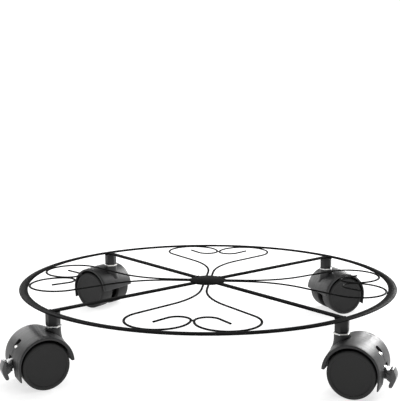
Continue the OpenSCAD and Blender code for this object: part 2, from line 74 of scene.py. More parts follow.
# Centre of a wire's loop: across from the middle of its pair, and out from the hub's middle
LOOP_ACROSS = LOOP_R + LOOP_GAP / 2
LOOP_OUT = math.sqrt((RING_INNER_R - WIRE_W / 2 - LOOP_R) ** 2 - LOOP_ACROSS ** 2)

# Welds: the radii of their drops, the heights of some above the ring's middle, and where the runs lie
DROP_VARIETY = 0.12
DROP_RHYTHM = 2.4
DROP_FLATNESS = 0.6
BUTT_WELD_OFF = 0.1
HUB_DROP_R = 0.75
HUB_WELD_Z = 0.75
RING_DROP_R = 0.9
RING_WELD_Z = 0.45
SPOKE_DROP_R = 0.85
SPOKE_WELD_OFF = 0.2
SPOKE_WELD_BACK = 4.6
SPOKE_WELD_STOP = 0.3
CORNER_DROP_R = 0.8
CORNER_WELD_END = 5
SOCKET_DROP_R = 0.8
SOCKET_DROP_FLATNESS = 0.8
SOCKET_WELD_SINK = 0.3
SOCKET_WELD_DEGREES = range(-84, 85, 8)
ROOT_DROP_R = 0.8
ROOT_WELD_Z = 0.3
TOUCH_DROP_R = 0.75
TOUCH_WELD_HALF = 2
PAIR_DROP_R = 0.85
PAIR_DROPS = ((-1, 0.1), (0, 0.2), (1, 0.1))

# Stems
SOCKET_AF = 11
SOCKET_L = 11.1
SOCKET_CHAMFER = 0.35
HEX_TURN = math.radians(13)
HEX_EDGE_R = 0.5
FLANGE_AF = 12.6
FLANGE_T = 1.3
FLANGE_CHAMFER = 0.2
FLANGE_TOP = RING_Z - RING_T / 2 - SOCKET_L
FLANGE_BOTTOM = FLANGE_TOP - FLANGE_T

# The stem's shaft, by heights above the flange's underside
JOURNAL_R = 3.5
JOURNAL_L = 12
JOURNAL_BEVEL = 0.5
THREAD_R = 4
THREAD_FOOT = 0.4
THREAD_TOP = 10
THREAD_END_R = 0.8

# Casters, in the side view with the axle at the origin and +X trailing
AXLE_Z = 20
TRAIL = 13
WHEEL_GAP = 5.3

# Wheel, by its inner face
WHEEL_R = 20
WHEEL_W = 16.4
WHEEL_BORE_R = 2.55
WHEEL_BORE_L = 12
WHEEL_HUB_R = 11
WHEEL_HUB_EDGE_R = 0.3
DISC_T = 2.4
RECESS_R = WHEEL_R - 3.4
TREAD_INNER_R = WHEEL_R - 0.2
TREAD_OUTER_R = WHEEL_R - 0.1
INNER_SHOULDER_R = 0.7
OUTER_SHOULDER_R = 1.5
RIM_INNER_R = WHEEL_R - 3.1
RIM_EDGE_R = 0.3
DISC_R = WHEEL_R - 3.5
DISC_SINK = 0.6
DISC_CORNER_R = 0.25

# Hood
HOOD_R = 23.5
HOOD_W = 44
HOOD_WALL = 1.6
HOOD_CROWN = 0.8
HOOD_RISE = 1
HOOD_LEAN = 0.6
HOOD_INNER_R = HOOD_R - HOOD_CROWN - HOOD_WALL
HOOD_EDGE_R = 0.6
HOOD_INNER_EDGE_R = 0.35
FRONT_LIP = 2
LIP_EDGE_R = 0.95
SKIRT_DROP = 10.2
SKIRT_TILT = math.radians(7)
SKIRT_SLANT = 1.4
SKIRT_TIP_T = 0.9
SKIRT_TIP_EDGE_R = 0.3
SKIRT_L = (SKIRT_DROP + HOOD_RISE - HOOD_R * math.sin(SKIRT_TILT)) / math.cos(SKIRT_TILT)

# The hood's web, cut off upright at the back and at a slant below
WEB_T = 10
WEB_BACK_X = 7.5
WEB_SLANT_AT = (-7.5, 0, -3.75)
WEB_SLANT_OUT = (-8.75, 0, -16)
AXLE_BOSS_R = 7.5
EAR_R = 3.2

# The hood's neck, whose flare is (height, width past the neck) from its foot up, and the moat round it
NECK_D = 13
NECK_GAP = 0.2
NECK_TOP = FLANGE_BOTTOM - NECK_GAP - AXLE_Z
NECK_FLARE = ((10, 2.6), (13.5, 2.4), (16.5, 0.9), (20, 0.2), (23, 0))
NECK_EDGE_R = 0.45
NECK_BORE_R = 4.2
NECK_BORE_L = 3
NECK_BORE_EDGE_R = 0.3
MOAT_W = 1.2
MOAT_Z = 22.1
ABOVE_HOOD = 40

# The hood's way out for the lever, window and mould seam, and how far their cutters reach
EXIT_W = 13
EXIT_TOP = 6.3
EXIT_X = 15
BEHIND_HOOD = 33
BELOW_SKIRT = 4
PAST_SIDE = 1
INTO_DRUM = 5
PAST_DRUM = 3
WINDOW_W = 6.5
WINDOW_L = 8.6
WINDOW_ANGLE = math.radians(40.5)
WINDOW_CORNER_R = 0.7
SEAM_W = 0.5
SEAM_L = 7
SEAM_DEPTH = 0.6
SEAM_ANGLE = math.radians(21.5)

# Brake lever, with the (back, up) places of its pin and its shoe
PIVOT = (7, 12.5)
SHOE = (12.5, 7.5)
SHOE_BOSS_R = 2.5
LEVER_W = 5.6
LEVER_EDGE_R = 0.4
PADDLE_W = 11
PADDLE_EDGE_R = 0.45
PADDLE_TIP_W = 5.6
PADDLE_WAIST_Z = -2.5
PADDLE_TIP_Z = -12.8

# Leaf spring, from its (back, up) bend, and three (out, up) places of the window that shape its bow
LEAF_W = 4.6
LEAF_T = 0.6
LEAF_END_L = 2
LEAF_BEND = (7.8, 17.3)
LEAF_BOW = ((18.5, 2.5), (23.6, -0.6), (22.75, -3.9))

# Facets and creases
RING_SIDES = 32
RING_STEPS = 288
WIRE_SIDES = 16
WIRE_DEGREES_A_STEP = 5
TURNED_STEPS = 96
SHAFT_STEPS = 48
NECK_STEPS = 72
WHEEL_STEPS = 120
WEB_STEPS = 96
WEB_BOSS_STEPS = 48
LEVER_BOSS_STEPS = 40
CROWN_STEPS = 16
DRUM_STEPS = 78
SKIRT_STAGES = 4
BOW_STEPS = 16
CREASE = math.radians(32)
RING_CREASE = math.radians(80)
WIRE_CREASE = math.radians(50)
NO_CREASE = math.radians(180)
SHARP_EDGE = math.radians(40)
MERGE_DISTANCE = 1e-4

# Studio, in metres, with the brightness of its walls by (height of the view, level)
FLOOR_HALF_SIZE = 8
FRONT_RIGHT_CASTER = (0.13, -0.12, 0.04)
FRONT_LEFT_CASTER = (-0.13, -0.13, 0.04)
WALL_LEVELS = ((0.11, 0.86), (0.2, 0.13), (0.7, 0.13), (0.85, 1.0))
WALL_STRENGTH = 1.4

# Camera, from the same fit as the sizes
CAMERA_AT = Vector((67.9, -776.0, 246.2)) * MM
CAMERA_PAN = math.radians(5.521)
CAMERA_TILT = math.radians(7.936)
CAMERA_ROLL = math.radians(-0.189)
CAMERA_NEAR_M = 0.01
FOCAL_PX = 826.9
PHOTO_W = 400
SENSOR_W = 36

# Names
CORNERS = ("front_left", "front_right", "back_left", "back_right")
SCROLLS = ("right", "back", "left", "front")
NOISE = "ShaderNodeTexNoise"
RAMP = "ShaderNodeValToRGB"
BUMP = "ShaderNodeBump"
VERTS = bmesh.types.BMVert
EDGES = bmesh.types.BMEdge

# The attribute that keeps a piece's places in its caster's own side view, and how far the streaks that
# follow it are drawn out round the drum
OWN_VIEW = "own_view"
STREAK_STRETCH = 20


# Colours and nodes

def linear(code):
    """Turns an sRGB hex value into a linear colour with alpha."""
    parts = [int(code[i:i + 2], 16) / 255 for i in (1, 3, 5)]
    return [p / 12.92 if p <= 0.04045 else ((p + 0.055) / 1.055) ** 2.4 for p in parts] + [1.0]


def level(value):
    """A grey level as a colour."""
    return [value, value, value, 1.0]


def spread(dark, light, low=0.35, high=0.65):
    """A ramp's (place, colour) stops, from one colour to another over the middle of a grey pattern."""
    return (low, dark), (high, light)


def marks_of(size):
    """The scale of a noise whose marks measure about size millimetres."""
    return 1 / (size * MM)


def bands_of(pitch):
    """The scale of a wave whose bands lie pitch millimetres apart."""
    return math.pi / 10 / (pitch * MM)


def set_inputs(tree, node, links=None, **values):
    """Gives a node's inputs their values and links."""
    for name, value in values.items():
        node.inputs[name.replace("_", " ")].default_value = value
    for name, source in (links or {}).items():
        tree.links.new(source, node.inputs[name])


def add_node(tree, kind, output, links=None, settings=None, stops=(), **values):
    """Adds a node with its settings, ramp stops, input values and links, and gives one of its outputs."""
    node = tree.nodes.new(kind)
    for name, value in (settings or {}).items():
        setattr(node, name, value)
    if stops:
        elements = node.color_ramp.elements
        while len(elements) < len(stops):
            elements.new(1.0)
        for element, (place, color) in zip(elements, stops):
            element.position = place
            element.color = color
    set_inputs(tree, node, links, **values)
    return node.outputs[output]


def start_material(name):
    """An empty material with its shader, and the link that lays a pattern on the piece's own coordinates."""
    material = bpy.data.materials.new(name)
    material.use_nodes = True
    tree = material.node_tree
    on_piece = {"Vector": add_node(tree, "ShaderNodeTexCoord", "Object")}
    return material, tree, tree.nodes["Principled BSDF"], on_piece


# Materials

def powder_coated_steel():
    # Black powder coat baked on mild steel: matt, next to no sheen, with orange peel about 1.5 mm across
    material, tree, shader, on_piece = start_material("powder_coated_steel")
    peel = add_node(tree, NOISE, "Fac", on_piece, Scale=marks_of(1.5), Detail=2.0)
    cloud = add_node(tree, NOISE, "Fac", on_piece, Scale=marks_of(22), Detail=4.0)
    tint = add_node(tree, RAMP, "Color", {"Fac": cloud}, stops=spread(linear("#151515"), linear("#1f1f1f")))
    rough = add_node(tree, RAMP, "Color", {"Fac": cloud}, stops=spread(level(0.26), level(0.36)))
    relief = add_node(tree, BUMP, "Normal", {"Height": peel}, Distance=0.05 * MM)
    links = {"Base Color": tint, "Roughness": rough, "Normal": relief}
    set_inputs(tree, shader, links, Specular_IOR_Level=0.002)
    return material


def blackened_socket_steel():
    # Turned hexagon bar under a thinner black coat: duller, with tool marks round it, drawn coarse to show
    material, tree, shader, on_piece = start_material("blackened_socket_steel")
    marks = add_node(
        tree, "ShaderNodeTexWave", "Fac", on_piece, {"wave_type": "BANDS", "bands_direction": "Z"},
        Scale=bands_of(1.745), Distortion=1.5, Detail=2.0,
    )
    cloud = add_node(tree, NOISE, "Fac", on_piece, Scale=marks_of(6), Detail=3.0)
    tint = add_node(tree, RAMP, "Color", {"Fac": cloud}, stops=spread(linear("#121212"), linear("#1b1b1c")))
    rough = add_node(tree, RAMP, "Color", {"Fac": cloud}, stops=spread(level(0.36), level(0.5)))
    relief = add_node(tree, BUMP, "Normal", {"Height": marks}, Distance=0.02 * MM, Strength=0.6)
    links = {"Base Color": tint, "Roughness": rough, "Normal": relief}
    set_inputs(tree, shader, links, Specular_IOR_Level=0.35)
    return material


def bright_zinc_plate():
    # Zinc plate on turned steel: a bright, slightly cloudy metal with blue-grey and warm patches, its
    # crystals drawn coarse to show
    material, tree, shader, on_piece = start_material("bright_zinc_plate")
    cloud = add_node(tree, NOISE, "Fac", on_piece, Scale=marks_of(4), Detail=3.0)
    crystals = add_node(tree, NOISE, "Fac", on_piece, Scale=marks_of(0.6), Detail=2.0)
    tint = add_node(tree, RAMP, "Color", {"Fac": cloud}, stops=spread(linear("#c4c6c8"), linear("#e2e0db")))
    rough = add_node(tree, RAMP, "Color", {"Fac": cloud}, stops=spread(level(0.24), level(0.38)))
    relief = add_node(tree, BUMP, "Normal", {"Height": crystals}, Distance=0.015 * MM)
    links = {"Base Color": tint, "Roughness": rough, "Normal": relief}
    set_inputs(tree, shader, links, Metallic=1.0)
    return material


def polished_black_nylon():
    # Nylon from a mould polished round the drum: a satin sheen, with scuffs, and with fine streaks that way,
    # drawn coarse to show
    material, tree, shader, on_piece = start_material("polished_black_nylon")
    own_view = add_node(tree, "ShaderNodeAttribute", "Vector", settings={"attribute_name": OWN_VIEW})
    shrink = 1 / STREAK_STRETCH
    along_drum = {"Vector": add_node(
        tree, "ShaderNodeMapping", "Vector", {"Vector": own_view}, Scale=(shrink, 1.0, shrink),
    )}
    streaks = add_node(tree, NOISE, "Fac", along_drum, Scale=marks_of(0.9), Detail=4.0)
    scuffs = add_node(tree, NOISE, "Fac", on_piece, Scale=marks_of(1.1), Detail=6.0)
    flow = add_node(tree, NOISE, "Fac", on_piece, Scale=marks_of(14), Detail=3.0)
    worn = add_node(
        tree, "ShaderNodeMix", "Result", {"A": streaks, "B": scuffs}, {"data_type": "FLOAT"}, Factor=0.35,
    )
    tint = add_node(tree, RAMP, "Color", {"Fac": flow}, stops=spread(linear("#131314"), linear("#1b1b1c")))
    rough = add_node(
        tree, RAMP, "Color", {"Fac": worn}, stops=spread(level(0.42), level(0.54), low=0.4, high=0.6),
    )
    relief = add_node(tree, BUMP, "Normal", {"Height": streaks}, Distance=0.012 * MM)
    links = {"Base Color": tint, "Roughness": rough, "Normal": relief}
    set_inputs(tree, shader, links, IOR=1.53)
    return material


def matt_black_nylon():
    # Nylon wheel from a spark-eroded mould: an even texture that spreads the light, drawn coarse to show
    material, tree, shader, on_piece = start_material("matt_black_nylon")
    spark = add_node(tree, NOISE, "Fac", on_piece, Scale=marks_of(0.5), Detail=2.0)
    cloud = add_node(tree, NOISE, "Fac", on_piece, Scale=marks_of(9), Detail=3.0)
    tint = add_node(tree, RAMP, "Color", {"Fac": cloud}, stops=spread(linear("#161616"), linear("#1d1d1d")))
    rough = add_node(tree, RAMP, "Color", {"Fac": cloud}, stops=spread(level(0.5), level(0.62)))
    relief = add_node(tree, BUMP, "Normal", {"Height": spark}, Distance=0.04 * MM)
    links = {"Base Color": tint, "Roughness": rough, "Normal": relief}
    set_inputs(tree, shader, links, Specular_IOR_Level=0.36)
    return material


def satin_black_acetal():
    # Moulded acetal lever: satin, rubbed a little in patches, with the mould's fine skin drawn coarse to show
    material, tree, shader, on_piece = start_material("satin_black_acetal")
    rub = add_node(tree, NOISE, "Fac", on_piece, Scale=marks_of(3), Detail=4.0)
    skin = add_node(tree, NOISE, "Fac", on_piece, Scale=marks_of(0.7), Detail=2.0)
    tint = add_node(tree, RAMP, "Color", {"Fac": rub}, stops=spread(linear("#1c1c1d"), linear("#2c2c2e")))
    rough = add_node(tree, RAMP, "Color", {"Fac": rub}, stops=spread(level(0.18), level(0.34)))
    relief = add_node(tree, BUMP, "Normal", {"Height": skin}, Distance=0.02 * MM)
    links = {"Base Color": tint, "Roughness": rough, "Normal": relief}
    set_inputs(tree, shader, links, Specular_IOR_Level=0.8)
    return material


def matt_studio_paper():
    # Thin white sheet on a light table, which shines through it, with its tooth drawn coarse to show
    material, tree, shader, on_piece = start_material("matt_studio_paper")
    tooth = add_node(tree, NOISE, "Fac", on_piece, Scale=marks_of(3), Detail=2.0)
    tint = add_node(tree, RAMP, "Color", {"Fac": tooth}, stops=spread(linear("#b0b0b0"), linear("#b6b6b6")))
    set_inputs(
        tree, shader, {"Base Color": tint}, Roughness=0.9, Specular_IOR_Level=0.2,
        Emission_Color=linear("#ffffff"), Emission_Strength=0.7,
    )
    return material


FINISHES = {
    "coated_steel": powder_coated_steel(),
    "socket_steel": blackened_socket_steel(),
    "zinc_steel": bright_zinc_plate(),
    "hood_plastic": polished_black_nylon(),
    "wheel_plastic": matt_black_nylon(),
    "lever_plastic": satin_black_acetal(),
}


# Mesh tools

def new_object(name, data):
    """Adds an object to the scene."""
    obj = bpy.data.objects.new(name, data)
    bpy.context.scene.collection.objects.link(obj)
    return obj


def mesh_from(bm, name):
    """Turns a bmesh into a mesh and frees it."""
    mesh = bpy.data.meshes.new(name)
    bm.to_mesh(mesh)
    bm.free()
    return mesh


def add_piece(bm, name, slot, body, stands_for=(), place=Matrix(), crease=CREASE):
    """Turns a mesh drawn in millimetres into a piece that rides on a body."""
    bmesh.ops.recalc_face_normals(bm, faces=bm.faces)
    if place.is_negative:
        bmesh.ops.reverse_faces(bm, faces=bm.faces)
    mesh = mesh_from(bm, name)
    own_view = mesh.attributes.new(OWN_VIEW, "FLOAT_VECTOR", "POINT")
    for vert, kept in zip(mesh.vertices, own_view.data):
        kept.vector = vert.co * MM
    mesh.transform(Matrix.Scale(MM, 4) @ place)
    mesh.shade_smooth()
    mesh.set_sharp_from_angle(angle=crease)
    mesh.materials.append(FINISHES[slot])
    obj = new_object(name, mesh)
    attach(obj, body)
    for node in stands_for:
        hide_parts(node)


def only(kind, geom):
    """The verts, edges or both of a list of geometry."""
    return [g for g in geom if isinstance(g, kind)]


def join_into(bm, other):
    """Adds another mesh to this one."""
    mesh = mesh_from(other, "part")
    bm.from_mesh(mesh)
    bpy.data.meshes.remove(mesh)


def round_corners(bm, verts, radius, segments=4):
    """Rounds the corners of an outline."""
    bmesh.ops.bevel(
        bm, geom=verts, offset=radius, affect="VERTICES", segments=segments, profile=0.5, material=-1,
    )


def round_edges(bm, edges, radius, segments=4, profile=0.5, clamp_overlap=False):
    """Rounds edges of a solid."""
    bmesh.ops.bevel(
        bm, geom=edges, offset=radius, affect="EDGES", segments=segments, profile=profile, material=-1,
        clamp_overlap=clamp_overlap,
    )


def draw_outline(bm, points, y=0, closed=False):
    """Joins (x, z) points by edges. A point's third value, where it has one, rounds its corner."""
    verts = [bm.verts.new((point[0], y, point[1])) for point in points]
    ends = verts[1:] + verts[:1] if closed else verts[1:]
    for pair in zip(verts, ends):
        bm.edges.new(pair)
    for vert, point in zip(verts, points):
        if len(point) == 3:
            round_corners(bm, [vert], point[2])


def spin_round(bm, steps):
    """Spins what is there a full turn about Z and closes the seam and the poles."""
    bmesh.ops.spin(
        bm, geom=bm.verts[:] + bm.edges[:], cent=(0, 0, 0), axis=(0, 0, 1), dvec=(0, 0, 0),
        angle=math.tau, steps=steps, use_merge=True, use_duplicate=False,
    )
    bmesh.ops.remove_doubles(bm, verts=bm.verts, dist=MERGE_DISTANCE)


def turned(points, steps=TURNED_STEPS):
    """A solid of revolution about Z from an outline of (radius, height) points."""
    bm = bmesh.new()
    draw_outline(bm, points)
    spin_round(bm, steps)
    return bm


def plate(points, width, rounding=0):
    """A side view of (back, up) points made into a plate about the middle, with rounded edges."""
    bm = bmesh.new()
    draw_outline(bm, points, -width / 2, closed=True)
    bmesh.ops.contextual_create(bm, geom=bm.edges[:])
    made = bmesh.ops.extrude_face_region(bm, geom=bm.faces[:])
    bmesh.ops.translate(bm, vec=(0, width, 0), verts=only(VERTS, made["geom"]))
    bmesh.ops.recalc_face_normals(bm, faces=bm.faces)
    if rounding:
        sharp = [e for e in bm.edges if e.is_manifold and e.calc_face_angle() > SHARP_EDGE]
        round_edges(bm, sharp, rounding, segments=3, clamp_overlap=True)
    return bm


def box_of(low, high):
    """A box between two corners."""
    bm = bmesh.new()
    made = bmesh.ops.create_cube(bm, size=1)
    size = [b - a for a, b in zip(low, high)]
    middle = [(a + b) / 2 for a, b in zip(low, high)]
    bmesh.ops.scale(bm, vec=size, verts=made["verts"])
    bmesh.ops.translate(bm, vec=middle, verts=made["verts"])
    return bm


def oval_section(bm, sides, width, height, filled=False):
    """An upright oval about the origin, seen along Y."""
    made = bmesh.ops.create_circle(bm, segments=sides, radius=1, cap_ends=filled)
    bmesh.ops.scale(bm, vec=(width / 2, height / 2, 1), verts=made["verts"])
    bmesh.ops.rotate(bm, matrix=Matrix.Rotation(math.pi / 2, 3, "X"), verts=made["verts"])
    return made["verts"]


def cross_disc(bm, at, radius, width, steps):
    """Adds a disc across the caster about a (back, up) place."""
    bmesh.ops.create_cone(
        bm, cap_ends=True, segments=steps, radius1=radius, radius2=radius, depth=width,
        matrix=Matrix.Translation((at[0], 0, at[1])) @ Matrix.Rotation(math.pi / 2, 4, "X"),
    )


def cut_away(obj, cutters):
    """Cuts solids out of a piece."""
    for cutter in cutters:
        tool = new_object("cutter", mesh_from(cutter, "cutter"))
        boolean = obj.modifiers.new("cut", "BOOLEAN")
        boolean.object = tool
        boolean.operation = "DIFFERENCE"
        boolean.solver = "MANIFOLD"
        with bpy.context.temp_override(object=obj, active_object=obj):
            bpy.ops.object.modifier_apply(modifier="cut")
        bpy.data.objects.remove(tool)


# Frame pieces, of which spokes, wires and welds are drawn along +X and then turned to their places

def at_ring_height(turn=0):
    """The place of a frame piece, by its turn about the stand's middle."""
    return Matrix.Translation((0, 0, RING_Z)) @ Matrix.Rotation(turn, 4, "Z")


def ring():
    """The band, an oval section spun round the stand's middle."""
    bm = bmesh.new()
    section = oval_section(bm, RING_SIDES, RING_W, RING_T)
    bmesh.ops.translate(bm, vec=((RING_D - RING_W) / 2, 0, RING_Z), verts=section)
    spin_round(bm, RING_STEPS)
    add_piece(bm, "ring_band", "coated_steel", "frame", ["ring"], crease=RING_CREASE)


def hub():
    """The disc in the middle."""
    r = HUB_D / 2
    half = HUB_T / 2
    bm = turned([(0, -half), (r, -half, HUB_EDGE_R), (r, half, HUB_EDGE_R), (0, half)])
    add_piece(bm, "hub_plate", "coated_steel", "frame", ["hub_disc"], at_ring_height())


def spoke(corner, turn):
    """A flat bar with softened edges, from the hub to the middle of the ring's band."""
    start = HUB_D / 2 - SPOKE_LAP
    end = RING_D / 2 - RING_W / 2
    under = -RING_T / 2
    bm = box_of((start, -SPOKE_W / 2, under), (end, SPOKE_W / 2, under + SPOKE_T))
    long_edges = [e for e in bm.edges if e.calc_length() > SPOKE_W + SPOKE_T]
    round_edges(bm, long_edges, SPOKE_EDGE_R)
    add_piece(bm, "spoke_bar_" + corner, "coated_steel", "frame", ["spoke_" + corner], at_ring_height(turn))


def along_wire():
    """The wire's root, and its steps from there as (length, 0) or (bend radius, turn)."""
    entry = math.radians(ENTRY_ANGLE)
    entry_at = Vector((LOOP_OUT - LOOP_R * math.sin(entry), LOOP_ACROSS + LOOP_R * math.cos(entry)))
    root_at = Vector((HUB_D / 2 - WIRE_LAP, ROOT_GAP / 2))
    corner_x = entry_at.x - (entry_at.y - root_at.y) / math.tan(entry)
    tangent = BEND_R * math.tan(entry / 2)
    bend_end = Vector((corner_x + tangent * math.cos(entry), root_at.y + tangent * math.sin(entry)))
    steps = [
        (corner_x - tangent - root_at.x, 0),
        (BEND_R, ENTRY_ANGLE),
        ((entry_at - bend_end).length, 0),
        (LOOP_R, -180 - ENTRY_ANGLE),
        (CURL_R, -CURL_SWEEP),
        (TAIL_L, 0),
    ]
    return root_at, steps


def scroll_wire(name, turn, mirrored):
    """One wire: its end is drawn out straight, then spun round each bend."""
    at, steps = along_wire()
    heading = 0.0
    bm = bmesh.new()
    section = oval_section(bm, WIRE_SIDES, WIRE_W, WIRE_T, filled=True)
    bmesh.ops.rotate(bm, matrix=Matrix.Rotation(math.pi / 2, 3, "Z"), verts=section)
    bmesh.ops.translate(bm, vec=(at.x, at.y, 0), verts=section)
    end = bm.verts[:] + bm.edges[:]
    for size, bend in steps:
        ahead = Vector((math.cos(heading), math.sin(heading)))
        if bend == 0:
            made = bmesh.ops.extrude_edge_only(bm, edges=only(EDGES, end))
            end = only((VERTS, EDGES), made["geom"])
            bmesh.ops.translate(bm, vec=(ahead.x * size, ahead.y * size, 0), verts=only(VERTS, end))
            at = at + ahead * size
            continue
        side = math.copysign(1, bend)
        centre = at + Vector((-ahead.y, ahead.x)) * side * size
        made = bmesh.ops.spin(
            bm, geom=end, cent=(centre.x, centre.y, 0), axis=(0, 0, 1), dvec=(0, 0, 0),
            angle=math.radians(bend), steps=math.ceil(abs(bend) / WIRE_DEGREES_A_STEP), use_duplicate=False,
        )
        end = only((VERTS, EDGES), made["geom_last"])
        heading += math.radians(bend)
        at = centre + Vector((math.sin(heading), -math.cos(heading))) * side * size
    bmesh.ops.edgeloop_fill(bm, edges=only(EDGES, end))
    place = at_ring_height(turn)
    if mirrored:
        place = place @ Matrix.Scale(-1, 4, (0, 1, 0))
    add_piece(bm, "wire_" + name, "coated_steel", "frame", ["scroll_" + name], place, WIRE_CREASE)


# Welds

def weld_run(bm, places, radius, flatness=DROP_FLATNESS):
    """A run of weld: overlapping drops of metal, each a little different in size."""
    for i, at in enumerate(places):
        size = radius * (1 + DROP_VARIETY * math.sin(DROP_RHYTHM * i))
        made = bmesh.ops.create_icosphere(bm, subdivisions=2, radius=size)
        bmesh.ops.scale(bm, vec=(1, 1, flatness), verts=made["verts"])
        bmesh.ops.translate(bm, vec=at, verts=made["verts"])


def weld_line(bm, first, last, radius, count):
    """A straight run of weld from first to last."""
    first, last = Vector(first), Vector(last)
    weld_run(bm, [first.lerp(last, i / (count - 1)) for i in range(count)], radius)


def corner_welds(corner, spoke_turn, stem_r):
    """Welds at one spoke: to the hub, to the ring, and the socket under both."""
    half = SPOKE_W / 2
    under = -RING_T / 2
    socket_r = SOCKET_AF / 2
    at_hub = HUB_D / 2 + BUTT_WELD_OFF
    at_ring = RING_INNER_R - BUTT_WELD_OFF
    run_start = stem_r - SPOKE_WELD_BACK
    run_end = RING_INNER_R - SPOKE_WELD_STOP
    bm = bmesh.new()
    weld_line(bm, (at_hub, -half, HUB_WELD_Z), (at_hub, half, HUB_WELD_Z), HUB_DROP_R, count=8)
    weld_line(bm, (at_ring, -half, RING_WELD_Z), (at_ring, half, RING_WELD_Z), RING_DROP_R, count=8)
    for side in (-1, 1):
        beside = side * (half + SPOKE_WELD_OFF)
        far = side * CORNER_WELD_END
        weld_line(bm, (run_start, beside, under), (run_end, beside, under), SPOKE_DROP_R, count=7)
        weld_line(bm, (RING_INNER_R, beside, under), (RING_INNER_R, far, under), CORNER_DROP_R, count=4)
    turns = [math.radians(degrees) for degrees in SOCKET_WELD_DEGREES]
    rim_z = under - SOCKET_WELD_SINK
    rim = [(stem_r + socket_r * math.cos(turn), socket_r * math.sin(turn), rim_z) for turn in turns]
    weld_run(bm, rim, SOCKET_DROP_R, SOCKET_DROP_FLATNESS)
    place = at_ring_height(spoke_turn)
    add_piece(bm, "weld_beads_" + corner, "coated_steel", "frame", (), place, NO_CREASE)


def scroll_welds(name, turn):
    """Welds of one pair of wires: at the hub, between the loops, and where the loops touch the ring."""
    hub_r = HUB_D / 2
    half = WIRE_W / 2
    bm = bmesh.new()
    weld_run(bm, [(LOOP_OUT + out, 0, up) for out, up in PAIR_DROPS], PAIR_DROP_R)
    for side in (-1, 1):
        root = side * ROOT_GAP / 2
        weld_line(
            bm, (hub_r, root - half, ROOT_WELD_Z), (hub_r, root + half, ROOT_WELD_Z), ROOT_DROP_R, count=4,
        )
        touch = Vector((LOOP_OUT, side * LOOP_ACROSS, 0)).normalized()
        along = Vector((-touch.y, touch.x, 0)) * TOUCH_WELD_HALF
        at = touch * RING_INNER_R
        weld_line(bm, at - along, at + along, TOUCH_DROP_R, count=5)
    add_piece(bm, "weld_beads_" + name, "coated_steel", "frame", (), at_ring_height(turn), NO_CREASE)


# Stem pieces

def hex_bar(across_flats, height, chamfer):
    """A hexagon bar on z = 0 with softened edges and its corners turned off at both ends."""
    bm = bmesh.new()
    half_side = math.radians(30)
    r = across_flats / 2 / math.cos(half_side)
    bmesh.ops.create_cone(
        bm, cap_ends=True, segments=6, radius1=r, radius2=r, depth=height,
        matrix=Matrix.Translation((0, 0, height / 2)) @ Matrix.Rotation(half_side, 4, "Z"),
    )
    upright = [e for e in bm.edges if abs(e.verts[0].co.z - e.verts[1].co.z) > height / 2]
    round_edges(bm, upright, HEX_EDGE_R, segments=3)
    flat = [e for e in bm.edges if abs(e.verts[0].co.z - e.verts[1].co.z) < MERGE_DISTANCE]
    round_edges(bm, flat, chamfer, segments=2, profile=0.6)
    return bm


def stem_pieces(corner, stem_at):
    """The socket, and the stem with its flange, journal and threaded end."""
    turn = Matrix.Rotation(HEX_TURN, 4, "Z")
    socket = hex_bar(SOCKET_AF, SOCKET_L, SOCKET_CHAMFER)
    place = Matrix.Translation((stem_at.x, stem_at.y, FLANGE_TOP)) @ turn
    add_piece(socket, "hex_socket_" + corner, "socket_steel", "frame", ["socket_" + corner], place)
    stem = hex_bar(FLANGE_AF, FLANGE_T, FLANGE_CHAMFER)
    shaft = turned(
        [(0, -JOURNAL_L), (JOURNAL_R - JOURNAL_BEVEL, -JOURNAL_L), (JOURNAL_R, JOURNAL_BEVEL - JOURNAL_L),
         (JOURNAL_R, THREAD_FOOT), (THREAD_R, THREAD_FOOT), (THREAD_R, THREAD_TOP, THREAD_END_R),
         (0, THREAD_TOP)],
        SHAFT_STEPS,
    )
    join_into(stem, shaft)
    place = Matrix.Translation((stem_at.x, stem_at.y, FLANGE_BOTTOM)) @ turn
    add_piece(stem, "stem_bolt_" + corner, "zinc_steel", "frame", ["stem_" + corner], place)


# Hood

